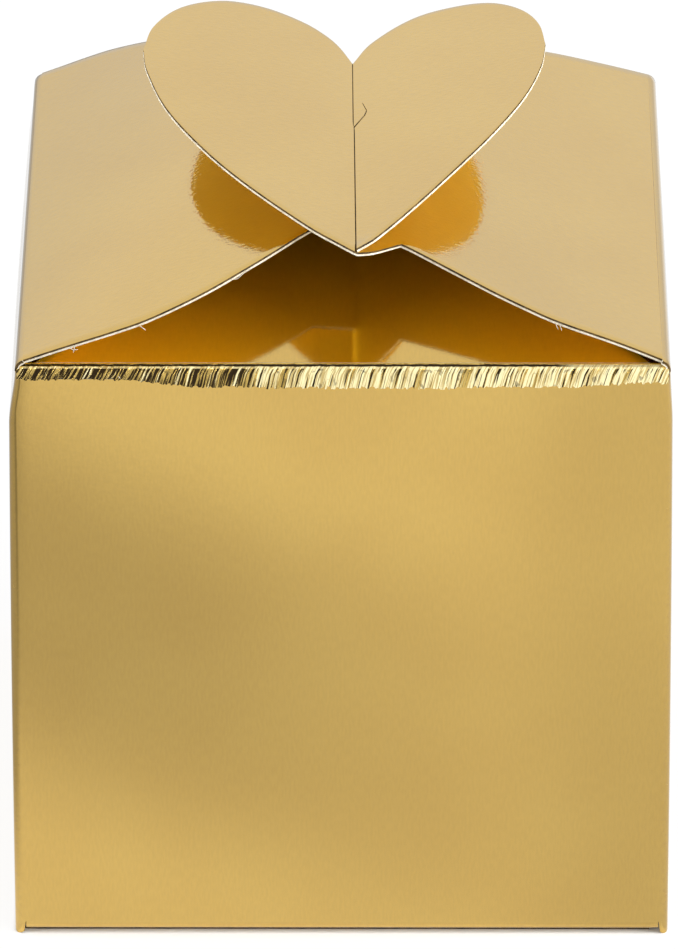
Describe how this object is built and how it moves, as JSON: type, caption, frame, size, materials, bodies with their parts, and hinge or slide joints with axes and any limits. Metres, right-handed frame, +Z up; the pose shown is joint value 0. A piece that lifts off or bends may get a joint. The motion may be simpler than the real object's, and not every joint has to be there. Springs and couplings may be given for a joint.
{
  "type": "favor box",
  "caption": "Cube-shaped gold foil paperboard favor box with sloping roof flaps that cross and lock in a heart, over dust flaps, with a tuck base.",
  "frame": {"origin": "middle of the base, on the table", "axes": "+Z up, +X to the right, front towards -Y"},
  "size_m": [0.064, 0.064, 0.078],
  "materials": {
    "foil_board": "gloss",
    "crease_foil": "satin",
    "seam_glue": "satin"
  },
  "bodies": {
    "box": {"front_wall": "foil_board", "back_wall": "foil_board", "left_wall": "foil_board", "right_wall": "foil_board", "seam_tab": "foil_board", "seam_glue": "seam_glue", "front_left_corner": "crease_foil", "front_right_corner": "crease_foil", "back_right_corner": "crease_foil", "seam_corner": "crease_foil", "left_roof_crease": "crease_foil", "right_roof_crease": "crease_foil", "front_flap_crease": "crease_foil", "back_flap_crease": "crease_foil", "base_crease": "crease_foil", "front_base_crease": "crease_foil", "back_base_crease": "crease_foil"},
    "left_roof": {"left_roof_panel": "foil_board", "right_heart_half": "foil_board"},
    "right_roof": {"right_roof_panel": "foil_board", "left_heart_half": "foil_board"},
    "front_flap": {"front_dust_flap": "foil_board"},
    "back_flap": {"back_dust_flap": "foil_board"},
    "base": {"base_panel": "foil_board", "tuck_crease": "crease_foil", "tuck_flap": "foil_board"},
    "front_base": {"front_base_flap": "foil_board"},
    "back_base": {"back_base_flap": "foil_board"}
  },
  "joints": [
    {"name": "left_roof_hinge", "type": "hinge", "parent": "box", "child": "left_roof", "pos_m": [-0.032, 0, 0.064], "axis": [0, -1, 0], "range_deg": [0, 110], "deforming": ["right_heart_half"]},
    {"name": "right_roof_hinge", "type": "hinge", "parent": "box", "child": "right_roof", "pos_m": [0.032, 0, 0.064], "axis": [0, 1, 0], "range_deg": [0, 110], "deforming": ["left_heart_half"]},
    {"name": "front_flap_hinge", "type": "hinge", "parent": "box", "child": "front_flap", "pos_m": [0, -0.032, 0.0635], "axis": [1, 0, 0], "range_deg": [0, 88]},
    {"name": "back_flap_hinge", "type": "hinge", "parent": "box", "child": "back_flap", "pos_m": [0, 0.032, 0.0635], "axis": [-1, 0, 0], "range_deg": [0, 88]},
    {"name": "base_hinge", "type": "hinge", "parent": "box", "child": "base", "pos_m": [-0.032, 0, 0], "axis": [0, 1, 0], "range_deg": [0, 110]},
    {"name": "front_base_hinge", "type": "hinge", "parent": "box", "child": "front_base", "pos_m": [0, -0.032, 0.00055], "axis": [-1, 0, 0], "range_deg": [0, 88]},
    {"name": "back_base_hinge", "type": "hinge", "parent": "box", "child": "back_base", "pos_m": [0, 0.032, 0.00055], "axis": [1, 0, 0], "range_deg": [0, 88]}
  ],
  "couplings": [
    {"joint": "right_roof_hinge", "follows": "left_roof_hinge", "ratio": 1},
    {"joint": "front_flap_hinge", "follows": "left_roof_hinge", "ratio": 0.8},
    {"joint": "back_flap_hinge", "follows": "left_roof_hinge", "ratio": 0.8},
    {"joint": "front_base_hinge", "follows": "base_hinge", "ratio": 0.8},
    {"joint": "back_base_hinge", "follows": "base_hinge", "ratio": 0.8}
  ]
}
